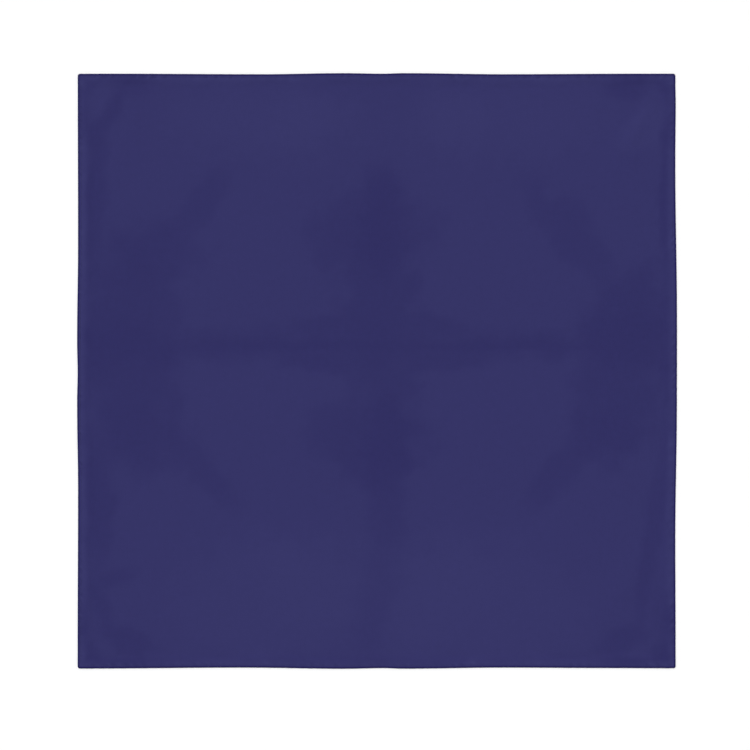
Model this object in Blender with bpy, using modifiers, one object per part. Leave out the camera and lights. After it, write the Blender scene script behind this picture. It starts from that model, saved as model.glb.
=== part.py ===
"""Bandana: a hemmed square of plain-weave cotton that lies flat, face up.

Metres, +Z up. The origin is on the surface under the cloth, at the middle of the square. +X runs along the
longer side. The panel lies on the surface along its folds, and its quarters arch a little between them. At
each side it turns over the hem, which lies under it on the surface.
"""

from collections import namedtuple
from math import cos, hypot, pi, radians, sin, sqrt

import bmesh
import bpy

MM = 0.001

# Finished size, over the waves of the sides.
WIDTH = 560 * MM
HEIGHT = 556 * MM
WALL = 1.0 * MM
SEAM_GAP = 0.3 * MM
SIDE_HEM_WIDTH = 7.0 * MM
END_HEM_WIDTH = 5.0 * MM
CORNER_RADIUS = 2.2 * MM

# The turn of the panel's side, inside the wall, and the hem under it. The side hems are at the left and
# right, and the end hems at the top and bottom.
TURN_RADIUS = 0.6 * MM
HEM_LIFT = WALL + SEAM_GAP
HEM_OUTER = WALL + TURN_RADIUS
HEM_END = 2.0 * MM

# From the hem the panel comes down to the surface over this depth, and the waves of a side fade out.
SLOPE_END = 26 * MM
WAVE_END = 60 * MM

LINE_SPACING = 14 * MM

# Linear colour of navy cotton, and how it scatters light.
NAVY = (0.0356, 0.0343, 0.130, 1.0)
COTTON_ROUGHNESS = 0.86

# Where the two quarter folds cross.
CROSSING_X = 3 * MM
CROSSING_Y = 24 * MM

# Spots of the cloth, in mm and degrees. x and y are measured from the crossing of the folds.
Spot = namedtuple("Spot", "name x y turn half_length half_width amount")

# The four quarters arch between the folds. amount is the rise in mm.
QUARTERS = (
    Spot("upper_left", -128, 116, 3, 138, 140, 1.6),
    Spot("upper_right", 130, 114, -4, 136, 138, 1.4),
    Spot("lower_left", -128, -142, -2, 138, 164, 1.5),
    Spot("lower_right", 130, -144, 3, 136, 162, 1.7),
)

# Oval swells and ridges stand on the quarters. amount is the rise in mm.
SWELLS = (
    Spot("swell_upper_left", -96, 68, 24, 100, 66, 0.7),
    Spot("swell_upper_right", 106, 76, -34, 104, 62, 0.6),
    Spot("swell_lower_left", -100, -66, -28, 104, 60, 0.6),
    Spot("swell_lower_right", 96, -80, 20, 100, 68, 0.8),
    Spot("ridge_top_left", -96, 204, 5, 128, 42, 0.7),
    Spot("ridge_top_right", 110, 198, -9, 116, 44, 0.8),
    Spot("ridge_bottom_left", -84, -204, 12, 130, 54, 0.8),
    Spot("ridge_bottom_right", 118, -196, -7, 134, 58, 0.7),
    Spot("corner_upper_left", -240, 188, 72, 60, 20, 0.6),
    Spot("corner_upper_right", 236, 196, 57, 62, 24, 1.0),
    Spot("corner_lower_left", -232, -232, -52, 50, 22, 0.8),
    Spot("corner_lower_right", 232, -218, 66, 60, 22, 0.8),
)

# Folds and troughs, along which all of this is pressed down. amount is the share that is taken away.
TROUGHS = (
    Spot("fold_across", -2, 0, 0, 290, 8, 0.85),
    Spot("beside_fold_across", -2, 0, 0, 250, 30, 0.2),
    Spot("fold_up", 0, -12, 90, 290, 14, 0.6),
    Spot("beside_fold_up_above", 2, 118, 92, 96, 58, 0.75),
    Spot("beside_fold_up_below", 6, -92, 87, 120, 54, 0.75),
    Spot("side_left", -226, -6, 90, 150, 62, 0.75),
    Spot("side_right", 228, 2, 91, 150, 58, 0.75),
    Spot("arc_upper_left", -170, 124, 36, 104, 38, 0.38),
    Spot("arc_upper_right", 174, 120, -40, 108, 40, 0.34),
    Spot("arc_lower_left", -168, -122, -38, 100, 36, 0.36),
    Spot("arc_lower_right", 170, -126, 38, 98, 38, 0.38),
)

# Where the cloth would stand less than this off the surface, it lies flat on it.
PRESSED_FLAT = 0.15 * MM

# The waves of each side, in mm: how far the side lies inside the box at a place along it.
Wave = namedtuple("Wave", "along inset")
TOP_WAVES = (
    Wave(-273, 0.6), Wave(-255, 0.5), Wave(-106, 1.0), Wave(-31, 0.0), Wave(6, 0.5),
    Wave(25, 0.0), Wave(119, 1.0), Wave(249, 0.5),
)
BOTTOM_WAVES = (
    Wave(-274, 0.2), Wave(-124, 1.1), Wave(-31, 0.0), Wave(6, 0.6), Wave(25, 0.1),
    Wave(119, 1.1), Wave(212, 0.7), Wave(268, 0.5),
)
LEFT_WAVES = (
    Wave(-253, 0.5), Wave(-113, 0.9), Wave(-29, 0.0), Wave(-1, 0.5), Wave(27, 0.0),
    Wave(120, 0.9), Wave(270, 0.6),
)
RIGHT_WAVES = (
    Wave(-253, 1.3), Wave(-160, 1.6), Wave(-29, 0.1), Wave(8, 0.0), Wave(46, 0.0),
    Wave(195, 1.6), Wave(251, 1.2), Wave(270, 1.5),
)

# A line of the panel's grid. depth is how far its points lie inside the nearest side, along is the place
# that it takes beside a corner, and height is that of the wall's inner face.
Line = namedtuple("Line", "sign depth along height")


def bell(t):
    """1 at t = 0, falling smoothly to 0 at -1 and 1."""
    return 0.5 * (1 + cos(pi * t)) if abs(t) < 1 else 0.0


def fade(depth, start, end):
    """1 up to start, falling smoothly to 0 at end."""
    t = min(max((depth - start) / (end - start), 0), 1)
    return 0.5 * (1 + cos(pi * t))


def dome(t):
    """A bell with a broad top, as cloth has where it arches."""
    return 1 - (1 - bell(t)) ** 2


def within(spot, x, y):
    """How far a place lies along and across a spot, each 1 at the spot's end."""
    turn = radians(spot.turn)
    away_x = (x - CROSSING_X) / MM - spot.x
    away_y = (y - CROSSING_Y) / MM - spot.y
    along = away_x * cos(turn) + away_y * sin(turn)
    across = away_y * cos(turn) - away_x * sin(turn)
    return along / spot.half_length, across / spot.half_width


def lift(x, y):
    """How far the cloth stands off the surface at a place, apart from what its hems add."""
    height = 0
    for spot in QUARTERS:
        along, across = within(spot, x, y)
        height += spot.amount * MM * dome(along) * dome(across)
    for spot in SWELLS:
        height += spot.amount * MM * bell(hypot(*within(spot, x, y)))
    for spot in TROUGHS:
        along, across = within(spot, x, y)
        height *= 1 - spot.amount * dome(along) * bell(across)
    return max(height - PRESSED_FLAT, 0)


def inset(waves, place):
    """Inset of a side at a place along it, on a smooth curve through its waves."""
    place_mm = place / MM
    if place_mm <= waves[0].along:
        return waves[0].inset * MM
    for start, end in zip(waves, waves[1:]):
        if place_mm <= end.along:
            share = fade(place_mm, start.along, end.along)
            return (start.inset * share + end.inset * (1 - share)) * MM
    return waves[-1].inset * MM


def waved(x, y):
    """A point of the plain rectangle, moved in with the waves of the sides near it."""
    to_right, to_left = WIDTH / 2 - x, WIDTH / 2 + x
    to_top, to_bottom = HEIGHT / 2 - y, HEIGHT / 2 + y
    moved_x = x - inset(RIGHT_WAVES, y) * fade(to_right, SIDE_HEM_WIDTH, WAVE_END)
    moved_x += inset(LEFT_WAVES, y) * fade(to_left, SIDE_HEM_WIDTH, WAVE_END)
    moved_y = y - inset(TOP_WAVES, x) * fade(to_top, END_HEM_WIDTH, WAVE_END)
    moved_y += inset(BOTTOM_WAVES, x) * fade(to_bottom, END_HEM_WIDTH, WAVE_END)
    return moved_x, moved_y


def edge_lines(sign, hem_width):
    """The panel's lines beside one side, from the foot of its turn to the end of its slope."""
    turn_top = HEM_LIFT - TURN_RADIUS
    middle = TURN_RADIUS * sqrt(0.5)
    steps = (CORNER_RADIUS - WALL) / 4
    lines = [
        Line(sign, WALL, WALL, 0),
        Line(sign, WALL, WALL + steps, turn_top),
        Line(sign, HEM_OUTER - middle, WALL + 2 * steps, turn_top + middle),
        Line(sign, HEM_OUTER, WALL + 3 * steps, HEM_LIFT),
        Line(sign, CORNER_RADIUS, CORNER_RADIUS, HEM_LIFT),
        Line(sign, hem_width, hem_width, HEM_LIFT),
    ]
    for share in (0.4, 1.0):
        depth = hem_width + share * (SLOPE_END - hem_width)
        lines.append(Line(sign, depth, depth, HEM_LIFT * fade(depth, hem_width, SLOPE_END)))
    return lines


def middle_places(size, fold):
    """Even places along one axis, from the end of one slope to the quarter fold and on to the other end."""
    end = size / 2 - SLOPE_END
    below = round((fold + end) / LINE_SPACING)
    above = round((end - fold) / LINE_SPACING)
    places = [i / below * (fold + end) - end for i in range(below)]
    return places + [fold + i / above * (end - fold) for i in range(above + 1)]


def lines_across(size, fold, hem_width):
    """All the lines of the panel along one axis: a side, the middle, and the other side."""
    middle = []
    for place in middle_places(size, fold)[1:-1]:
        depth = size / 2 - abs(place)
        middle.append(Line(-1 if place < 0 else 1, depth, depth, 0))
    return edge_lines(-1, hem_width) + middle + edge_lines(1, hem_width)[::-1]


def place(line_x, line_y):
    """Where two lines of the panel cross: a point of the wall's inner face."""
    outer = min(line_x, line_y, key=lambda line: line.along)
    other = line_y if outer is line_x else line_x
    if other.along >= CORNER_RADIUS:
        x = WIDTH / 2 - line_x.depth
        y = HEIGHT / 2 - line_y.depth
    else:
        from_diagonal = (other.along - outer.along) / (CORNER_RADIUS - outer.along)
        turn = radians(45) * (1 - from_diagonal)
        to_side = (CORNER_RADIUS - outer.depth) * cos(turn)
        to_other = (CORNER_RADIUS - outer.depth) * sin(turn)
        x = WIDTH / 2 - CORNER_RADIUS + (to_side if outer is line_x else to_other)
        y = HEIGHT / 2 - CORNER_RADIUS + (to_other if outer is line_x else to_side)
    x, y = line_x.sign * x, line_y.sign * y
    return (*waved(x, y), outer.height + lift(x, y))


def cloth(name, collection, columns, rows, point):
    """A sheet of cloth: an open grid of points, given the wall's thickness above it."""
    mesh = bpy.data.meshes.new(name)
    sheet = bmesh.new()
    bmesh.ops.create_grid(sheet, x_segments=columns - 1, y_segments=rows - 1, size=0.5)
    for vertex in sheet.verts:
        i = round((vertex.co.x + 0.5) * (columns - 1))
        j = round((vertex.co.y + 0.5) * (rows - 1))
        vertex.co = point(i, j)
    sheet.to_mesh(mesh)
    sheet.free()
    mesh.materials.append(cotton(name))
    piece = bpy.data.objects.new(name, mesh)
    collection.objects.link(piece)
    wall = piece.modifiers.new("wall", "SOLIDIFY")
    wall.thickness = WALL
    wall.offset = 1.0
    wall.use_even_offset = True
    wall.use_rim = True
    mesh.shade_smooth()
    mesh.set_sharp_from_angle(angle=radians(40))
    return piece


def cotton(name):
    """Navy cotton for one sub-part."""
    material = bpy.data.materials.new(f"{name}_cotton")
    material.use_nodes = True
    surface = material.node_tree.nodes["Principled BSDF"]
    surface.inputs["Base Color"].default_value = NAVY
    surface.inputs["Roughness"].default_value = COTTON_ROUGHNESS
    surface.inputs["Metallic"].default_value = 0.0
    return material


def panel(collection):
    columns = lines_across(WIDTH, CROSSING_X, SIDE_HEM_WIDTH)
    rows = lines_across(HEIGHT, CROSSING_Y, END_HEM_WIDTH)
    return cloth("panel", collection, len(columns), len(rows), lambda i, j: place(columns[i], rows[j]))


def hem_places(size, fold, end):
    """Places along a hem: its two ends and the panel's lines between them."""
    return [end - size / 2, *middle_places(size, fold), size / 2 - end]


def hem(name, collection, places, depths, on_plan):
    """One turned hem: points of the panel over it, moved down by the wall and the gap."""

    def point(i, j):
        x, y = on_plan(places[i], depths[j])
        return (*waved(x, y), lift(x, y))

    return cloth(name, collection, len(places), len(depths), point)


def hems(collection):
    """The top and bottom hems run to the corners, and the side hems end against them."""
    across = hem_places(WIDTH, CROSSING_X, HEM_END)
    up = hem_places(HEIGHT, CROSSING_Y, END_HEM_WIDTH)
    end = (HEM_OUTER, END_HEM_WIDTH - SEAM_GAP)
    side = (HEM_OUTER, SIDE_HEM_WIDTH - SEAM_GAP)
    hem("hem_top", collection, across, end[::-1], lambda along, depth: (along, HEIGHT / 2 - depth))
    hem("hem_bottom", collection, across, end, lambda along, depth: (along, depth - HEIGHT / 2))
    hem("hem_left", collection, up, side[::-1], lambda along, depth: (depth - WIDTH / 2, along))
    hem("hem_right", collection, up, side, lambda along, depth: (WIDTH / 2 - depth, along))


def main():
    for item in list(bpy.data.objects):
        bpy.data.objects.remove(item, do_unlink=True)
    bandana = bpy.data.collections.new("bandana")
    bpy.context.scene.collection.children.link(bandana)
    panel(bandana)
    hems(bandana)


main()
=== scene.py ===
"""Looks of the bandana: a thin navy cotton square, its turned hems and their lockstitches, lying face up.

Lengths in the tables and functions are in millimetres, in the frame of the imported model: +X right, +Y up as
the face is seen, +Z off the surface that the cloth lies on. Meshes are in metres.
"""

from collections import namedtuple
from math import radians

import bmesh
import bpy
import numpy as np
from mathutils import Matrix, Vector, noise


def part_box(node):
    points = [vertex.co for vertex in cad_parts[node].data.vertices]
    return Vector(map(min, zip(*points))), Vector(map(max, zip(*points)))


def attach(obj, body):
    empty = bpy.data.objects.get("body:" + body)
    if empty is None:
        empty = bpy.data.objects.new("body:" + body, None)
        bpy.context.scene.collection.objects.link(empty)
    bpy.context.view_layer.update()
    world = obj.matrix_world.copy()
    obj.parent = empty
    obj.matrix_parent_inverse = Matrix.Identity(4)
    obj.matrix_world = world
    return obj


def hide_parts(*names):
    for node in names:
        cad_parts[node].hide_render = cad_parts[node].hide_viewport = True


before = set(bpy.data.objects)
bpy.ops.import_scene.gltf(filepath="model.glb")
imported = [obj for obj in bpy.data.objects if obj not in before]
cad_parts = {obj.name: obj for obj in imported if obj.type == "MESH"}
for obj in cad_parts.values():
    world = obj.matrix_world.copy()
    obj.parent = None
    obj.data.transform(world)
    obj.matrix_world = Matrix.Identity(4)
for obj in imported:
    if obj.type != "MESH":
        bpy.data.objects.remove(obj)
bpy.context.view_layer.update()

MM = 0.001
PANEL_LOW, PANEL_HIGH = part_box("panel")
WIDTH = (PANEL_HIGH.x - PANEL_LOW.x) / MM
HEIGHT = (PANEL_HIGH.y - PANEL_LOW.y) / MM

# The cloth, and the hems that it is turned into.
CLOTH = 0.34
SIDE_HEM_WIDTH = 7.0
END_HEM_WIDTH = 5.0
CORNER_RADIUS = 2.2
STITCH_DEPTH = 3.1

# Heights of the middle of the cloth's wall: its lowest layer, and each layer of a hem over the one below it.
# SETTLING is how softly the cloth meets the surface.
LOWEST = 0.18
SETTLING = 0.08
LAYER = 0.52
HEM_RISE = 2 * LAYER
CORNER_RISE = 0.35

# The turn at the edge is half an ellipse, from its foot under the hem to the hem's top. HALF_X and HALF_Y
# are half the flat cloth, out to the foot.
TURN_IN = 1.15
TURN_REACH = TURN_IN - CLOTH / 2
TURN_ARC = np.pi * np.sqrt((TURN_REACH**2 + (HEM_RISE / 2) ** 2) / 2)
TURN_STEPS = 7
CORNER_ARC = TURN_ARC + CORNER_RADIUS - TURN_IN
HALF_X = WIDTH / 2 - TURN_IN + TURN_ARC
HALF_Y = HEIGHT / 2 - TURN_IN + TURN_ARC

# Inside its hem the cloth comes down to the surface over SLOPE, give or take SLOPE_CHANGE, from SLOPE_LEAD
# outside the hem's inner side. SLOPE_SHIFT puts this change out of step with the ripples.
SLOPE = 8.5
SLOPE_CHANGE = 2.5
SLOPE_LEAD = 0.6
SLOPE_SHIFT = 40

# The net: how deep its lines lie inside an edge, past the turn, the pitch of the others, and the lines along
# a quarter fold. Up to FINE_DEPTH, its edges over LONG_EDGE are cut FINE_CUTS times.
EDGE_DEPTHS = (1.7, 2.4, 3.1, 3.8, 4.8, 5.9, 7.2, 8.8, 10.8, 13.6, 17.0)
LINE_SPACING = 3.9
FOLD_LINES = (-2.6, -1.3, 0.0, 1.3, 2.6)
FINE_DEPTH = 6.0
LONG_EDGE = 2.5
FINE_CUTS = 2

# Where the two quarter folds cross.
CROSSING_X = 3
CROSSING_Y = 24

# Spots of the cloth. x and y are measured from the crossing of the folds, and turn is in degrees.
Spot = namedtuple("Spot", "name x y turn half_length half_width amount")

# The four quarters arch between the folds. amount is the rise.
QUARTERS = (
    Spot("upper_left", -128, 116, 3, 138, 140, 1.6),
    Spot("upper_right", 130, 114, -4, 136, 138, 1.4),
    Spot("lower_left", -128, -142, -2, 138, 164, 1.5),
    Spot("lower_right", 130, -144, 3, 136, 162, 1.7),
)

# Oval swells and ridges stand on the quarters. amount is the rise.
SWELLS = (
    Spot("swell_upper_left", -96, 68, 24, 100, 66, 0.7),
    Spot("swell_upper_right", 106, 76, -34, 104, 62, 0.6),
    Spot("swell_lower_left", -100, -66, -28, 104, 60, 0.6),
    Spot("swell_lower_right", 96, -80, 20, 100, 68, 0.8),
    Spot("ridge_top_left", -96, 204, 5, 128, 42, 0.7),
    Spot("ridge_top_right", 110, 198, -9, 116, 44, 0.8),
    Spot("ridge_bottom_left", -84, -204, 12, 130, 54, 0.8),
    Spot("ridge_bottom_right", 118, -196, -7, 134, 58, 0.7),
    Spot("corner_upper_left", -240, 188, 72, 60, 20, 0.6),
    Spot("corner_upper_right", 236, 196, 57, 62, 24, 1.0),
    Spot("corner_lower_left", -232, -232, -52, 50, 22, 0.8),
    Spot("corner_lower_right", 232, -218, 66, 60, 22, 0.8),
)

# Folds and troughs, along which all of this is pressed down. amount is the share that is taken away. Then
# everything is pressed down by PRESSED_FLAT.
TROUGHS = (
    Spot("fold_across", -2, 0, 0, 290, 8, 0.85),
    Spot("beside_fold_across", -2, 0, 0, 250, 30, 0.2),
    Spot("fold_up", 0, -12, 90, 290, 14, 0.6),
    Spot("beside_fold_up_above", 2, 118, 92, 96, 58, 0.75),
    Spot("beside_fold_up_below", 6, -92, 87, 120, 54, 0.75),
    Spot("side_left", -226, -6, 90, 150, 62, 0.75),
    Spot("side_right", 228, 2, 91, 150, 58, 0.75),
    Spot("arc_upper_left", -170, 124, 36, 104, 38, 0.38),
    Spot("arc_upper_right", 174, 120, -40, 108, 40, 0.34),
    Spot("arc_lower_left", -168, -122, -38, 100, 36, 0.36),
    Spot("arc_lower_right", 170, -126, 38, 98, 38, 0.38),
)
PRESSED_FLAT = 0.15

# The waves of each edge: how far it lies inside the box at a place along it. The cloth inside the hem
# follows them less and less, to nothing at WAVE_END.
WAVE_END = 60
Wave = namedtuple("Wave", "along inset")
TOP_WAVES = (
    Wave(-273, 0.6), Wave(-255, 0.5), Wave(-106, 1.0), Wave(-31, 0.0), Wave(6, 0.5),
    Wave(25, 0.0), Wave(119, 1.0), Wave(249, 0.5),
)
BOTTOM_WAVES = (
    Wave(-274, 0.2), Wave(-124, 1.1), Wave(-31, 0.0), Wave(6, 0.6), Wave(25, 0.1),
    Wave(119, 1.1), Wave(212, 0.7), Wave(268, 0.5),
)
LEFT_WAVES = (
    Wave(-253, 0.5), Wave(-113, 0.9), Wave(-29, 0.0), Wave(-1, 0.5), Wave(27, 0.0),
    Wave(120, 0.9), Wave(270, 0.6),
)
RIGHT_WAVES = (
    Wave(-253, 1.3), Wave(-160, 1.6), Wave(-29, 0.1), Wave(8, 0.0), Wave(46, 0.0),
    Wave(195, 1.6), Wave(251, 1.2), Wave(270, 1.5),
)

# Creases, as curved ridges or troughs. bend is how far a crease's ends lie to the left of its middle, and
# rise is its height, or its depth where it is negative.
Crease = namedtuple("Crease", "name x y turn half_length half_width bend rise")
CREASES = (
    Crease("corner_upper_left_trough", -252, 178, 78, 62, 9, -12, -0.5),
    Crease("corner_upper_left_ridge", -262, 214, 70, 34, 7, -6, 0.45),
    Crease("corner_upper_right_ridge", 243, 206, 58, 44, 9, 5, 0.75),
    Crease("corner_upper_right_trough", 232, 238, 8, 26, 8, -3, -0.45),
    Crease("corner_lower_left_trough", -246, -214, -58, 46, 8, -14, -0.55),
    Crease("corner_lower_left_ridge", -258, -236, -50, 34, 7, 5, 0.45),
    Crease("corner_lower_right_trough", 236, -246, -14, 36, 8, 5, -0.45),
    Crease("right_lower_trough", 254, -124, 96, 84, 10, -9, -0.45),
    Crease("right_lower_ridge", 262, -150, 97, 60, 6, -6, 0.35),
    Crease("left_lower_trough", -264, -130, 88, 66, 9, 3, -0.35),
    Crease("right_upper_trough", 262, 136, 88, 40, 8, 3, -0.3),
)

# Painted light and shade of the cloth, as a share of its colour: painted shade in the folds and hollows,
# and painted light on the crowns.
PAINTED_SHADING_SPOTS = (
    Spot("fold_across_left", -116, 0, 1, 118, 9, -0.14),
    Spot("fold_across", -4, -1, 0, 225, 6, -0.14),
    Spot("fold_across_right", 118, 0, -1, 106, 9, -0.15),
    Spot("beside_fold_across", -4, 0, 0, 232, 27, -0.09),
    Spot("beside_crossing", -4, 2, 0, 92, 37, -0.115),
    Spot("branch_upper_left", -50, 22, 8, 46, 11, -0.12),
    Spot("branch_lower_left", -56, -17, -10, 48, 12, -0.13),
    Spot("branch_upper_right", 50, 20, -10, 48, 11, -0.12),
    Spot("branch_lower_right", 62, -16, 8, 50, 11, -0.12),
    Spot("upper_hollow", 1, 116, 90, 70, 36, -0.18),
    Spot("upper_hollow_body", -5, 104, 0, 76, 54, -0.14),
    Spot("upper_hollow_stem", 0, 52, 90, 78, 42, -0.15),
    Spot("lower_hollow", 5, -90, 90, 68, 34, -0.18),
    Spot("lower_hollow_body", -5, -86, 0, 76, 50, -0.14),
    Spot("lower_hollow_stem", 3, -32, 90, 52, 40, -0.13),
    Spot("lower_hollow_tail", 7, -144, 86, 54, 27, -0.12),
    Spot("left_hollow", -233, 2, 90, 142, 62, -0.15),
    Spot("left_hollow_upper", -214, 80, 30, 66, 44, -0.135),
    Spot("left_hollow_lower", -222, -82, -24, 60, 46, -0.145),
    Spot("left_hollow_middle", -240, 4, 0, 62, 40, -0.17),
    Spot("left_hollow_inner", -166, 2, 0, 42, 20, -0.11),
    Spot("right_hollow", 224, -18, 88, 114, 56, -0.14),
    Spot("right_hollow_upper", 241, 44, 90, 44, 34, -0.14),
    Spot("right_hollow_lower", 214, -82, 8, 54, 38, -0.145),
    Spot("right_hollow_middle", 228, 4, 0, 66, 40, -0.175),
    Spot("right_hollow_inner", 160, 0, 0, 40, 20, -0.11),
    Spot("arm_upper_left", -178, 122, 48, 66, 19, -0.11),
    Spot("arm_upper_right", 176, 106, -51, 82, 25, -0.12),
    Spot("arm_lower_left", -168, -116, -44, 64, 18, -0.11),
    Spot("arm_lower_right", 170, -114, 45, 62, 19, -0.11),
    Spot("crown_top_left", -110, 212, -6, 112, 52, 0.06),
    Spot("crown_top_left_middle", -69, 212, 35, 52, 38, 0.04),
    Spot("crown_top_right", 120, 212, 5, 122, 50, 0.055),
    Spot("crown_top_right_middle", 66, 214, -35, 52, 38, 0.04),
    Spot("crown_bottom_left", -104, -236, 8, 118, 74, 0.075),
    Spot("crown_bottom_left_middle", -60, -216, 10, 62, 60, 0.035),
    Spot("crown_bottom_right", 101, -240, -8, 122, 72, 0.075),
    Spot("crown_bottom_right_middle", 64, -218, -10, 60, 58, 0.03),
    Spot("crown_bottom_right_low", 26, -274, 0, 44, 30, 0.045),
    Spot("fold_up_bottom", -4, -240, 80, 72, 22, -0.05),
    Spot("corner_upper_left", -254, 214, 62, 46, 10, -0.13),
    Spot("corner_upper_left_top", -231, 240, 10, 24, 10, -0.09),
    Spot("corner_upper_left_light", -266, 228, 62, 34, 16, 0.05),
    Spot("left_upper", -267, 138, 88, 96, 14, -0.13),
    Spot("corner_upper_right", 229, 238, 4, 28, 13, -0.13),
    Spot("streak_upper_right", 249, 203, 47, 38, 20, 0.11),
    Spot("right_upper", 269, 134, 90, 98, 10, -0.14),
    Spot("right_middle", 268, 4, 90, 62, 12, -0.09),
    Spot("right_lower", 253, -191, 82, 104, 12, -0.11),
    Spot("right_lower_edge", 264, -118, 90, 60, 9, -0.07),
    Spot("right_bottom", 264, -250, 96, 40, 11, -0.06),
    Spot("corner_lower_right", 228, -275, 20, 36, 15, -0.13),
    Spot("left_lower", -264, -142, 92, 86, 17, -0.14),
    Spot("corner_lower_left_curl", -247, -218, 18, 26, 12, -0.12),
    Spot("corner_lower_left_bend", -261, -243, -68, 34, 10, -0.12),
    Spot("corner_lower_left", -236, -275, -22, 38, 14, -0.14),
    Spot("seam_crossing_upper_left", -269, 245, 40, 15, 10, -0.10),
    Spot("seam_crossing_upper_right", 266, 245, -50, 15, 10, -0.10),
    Spot("seam_crossing_lower_left", -269, -288, -40, 14, 10, -0.11),
    Spot("seam_crossing_lower_right", 265, -288, 50, 18, 13, -0.13),
)

# A tone falls off with this power of the distance from its spot's middle. A high one keeps it broad.
TONE_BREADTH = 2.4

# How much of the painted light and shade reaches the red, green and blue of the cloth.
TONE_TINT = (0.88, 1.0, 0.5)

# The outlines of the painted spots wander: each pair is a length along them and how far. A spot with a
# half_width under WANDER_FULL_WIDTH wanders less. WANDER_SLICE is where the noise is cut.
WANDERS = ((18, 16.0), (8, 9.0))
WANDER_FULL_WIDTH = 40
WANDER_SLICE = 0.5

# The painted shade ends beside the hems, which stand up out of the hollows.
HEM_LIGHT_END = 3.5
HOLLOW_START = 9

# The hems stand up out of the hollows and are painted lighter as light, by RIPPLE_TONE more for each mm of a
# ripple's height. This fades out from HEM_TONE_LEAD outside a hem's inner side to HEM_TONE_REACH inside it.
HEM_PAINTED_LIGHT = {"top": 0.06, "bottom": 0.06, "left": 0.105, "right": 0.085}
RIPPLE_TONE = 0.55
HEM_TONE_LEAD = 1
HEM_TONE_REACH = 5

# The outer part of every hem, its crest, is painted lighter again as light.
CREST_PAINTED_LIGHT = 0.09
CREST_TONE_START = 3.2
CREST_TONE_END = 5.6

# The turn at the very edge is painted darker as shade, and the corners are darker still.
EDGE_PAINTED_SHADE = -0.7
EDGE_TONE_START = 1.3
EDGE_TONE_END = 2.1
CORNER_PAINTED_SHADE = -0.2
CORNER_TONE_END = 4

# Painted shade and light along every hem, at a distance from its nearer end. They fade out inside the hem.
HemShade = namedtuple("HemShade", "name from_end half_length amount")
HEM_PAINTED_SHADES = (
    HemShade("near_corner", 45, 42, -0.17),
    HemShade("quarter", 125, 85, 0.025),
    HemShade("middle", 278, 100, -0.035),
)
HEM_SHADE_START = 6
HEM_SHADE_END = 12

# Painted light and shade on the slopes inside the hems, against the key light's own shading of them,
# strongest SLOPE_TONE_DEPTH inside a hem's inner side.
SLOPE_PAINTED_SHADING = {"top": 0.03, "bottom": -0.053, "left": -0.02, "right": -0.055}
SLOPE_TONE_DEPTH = 3
SLOPE_TONE_REACH = 7

# Small creases left from washing, scattered near the grains and the diagonals. A spread is a standard
# deviation.
EASE_SEED = 11
EASE_COUNT = 260
EASE_TURNS = (0, 90, 45, -45)
EASE_TURN_SPREAD = 18
EASE_HALF_LENGTH = (12, 46)
EASE_HALF_WIDTH = (4, 10)
EASE_BEND_SPREAD = 4
EASE_RISE_SPREAD = 0.10

# Ripples across a hem, each from RIPPLE_LEAST to RIPPLE_LEAST + 1 times RIPPLE_RISE high. A slant is a shift
# along the hem for each mm of depth. With the puckers they are never deeper than DEEPEST_RIPPLE.
RIPPLE_SEEDS = {"top": 21, "bottom": 22, "left": 23, "right": 24}
RIPPLE_COUNT = 9
RIPPLE_LENGTHS = (4.0, 12.0)
RIPPLE_SLANTS = (0.4, 1.3)
RIPPLE_RISE = 0.06
RIPPLE_LEAST = 0.25
RIPPLE_END = 3.3
RIPPLE_FADE = 2.6
DEEPEST_RIPPLE = 0.3

# How uneven a hem is changes slowly along it, as a sum of long waves.
CHANGE_COUNT = 4
CHANGE_LENGTHS = (35, 160)
CHANGE_SHARE = 0.25

# Puckers that run in from a hem, drawn in by its stitches.
PUCKER_COUNT = 34
PUCKER_HALF_LENGTH = (8, 26)
PUCKER_HALF_WIDTH = (3.5, 8)
PUCKER_SLANT_SPREAD = 0.25
PUCKER_RISE_SPREAD = 0.16

# The hem's turned layers: where they start and end, the bend at the inner fold, the gap beside the next hem,
# the net's lines, and the share of the ripples that reaches the middle layer.
HEM_START = TURN_IN + 0.02
RAW_EDGE = 1.9
BEND_REACH = 0.32
HEM_GAP = 0.3
HEM_PITCH = 2.2
LAYER_LINES = 7
BEND_STEPS = 5
MIDDLE_RIPPLE = 0.25

# The groove under the stitches, where the lower thread lies, and the share of it that the middle layer has.
LOWER_GROOVE = 0.27
MIDDLE_GROOVE = 0.2

# The row of stitches, and the dent that it draws: STITCH_DIP deep at the holes, DIP_BETWEEN of that between
# them, and STITCH_REACH wide to each side. The row stops short of the hem's ends.
STITCH_PITCH = 3.2
STITCH_DIP = 0.14
DIP_BETWEEN = 0.45
STITCH_REACH = 1.9
SIDE_STITCH_END = 4.6
END_STITCH_END = 1.8

# One stitch: its thread bends up towards STITCH_CROWN and sinks in at both ends. Stitches differ in turn, by
# up to STITCH_TURN degrees, and in length, width and height.
STITCH_LENGTH = 3.3
STITCH_CROWN = 0.36
STITCH_SINK = 0.24
STITCH_STEPS = 5
THREAD_RADIUS = 0.16
THREAD_SIDES = 6
STITCH_TURN = 3
SMALLEST_STITCH = (0.93, 0.9, 0.85)
LARGEST_STITCH = (1.03, 1.1, 1.15)
STITCH_SEEDS = {"top": 31, "bottom": 32, "left": 33, "right": 34}
LOWER_SEED_STEP = 50

# A stitch lies THREAD_LIFT off the cloth, where that stands out most at STITCH_PARTS. These are places along
# the stitch, in its lengths. Rays find the cloth from CAST_FROM away.
THREAD_LIFT = 0.07
STITCH_PARTS = (-0.3, 0, 0.3)
CAST_FROM = 20

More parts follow.
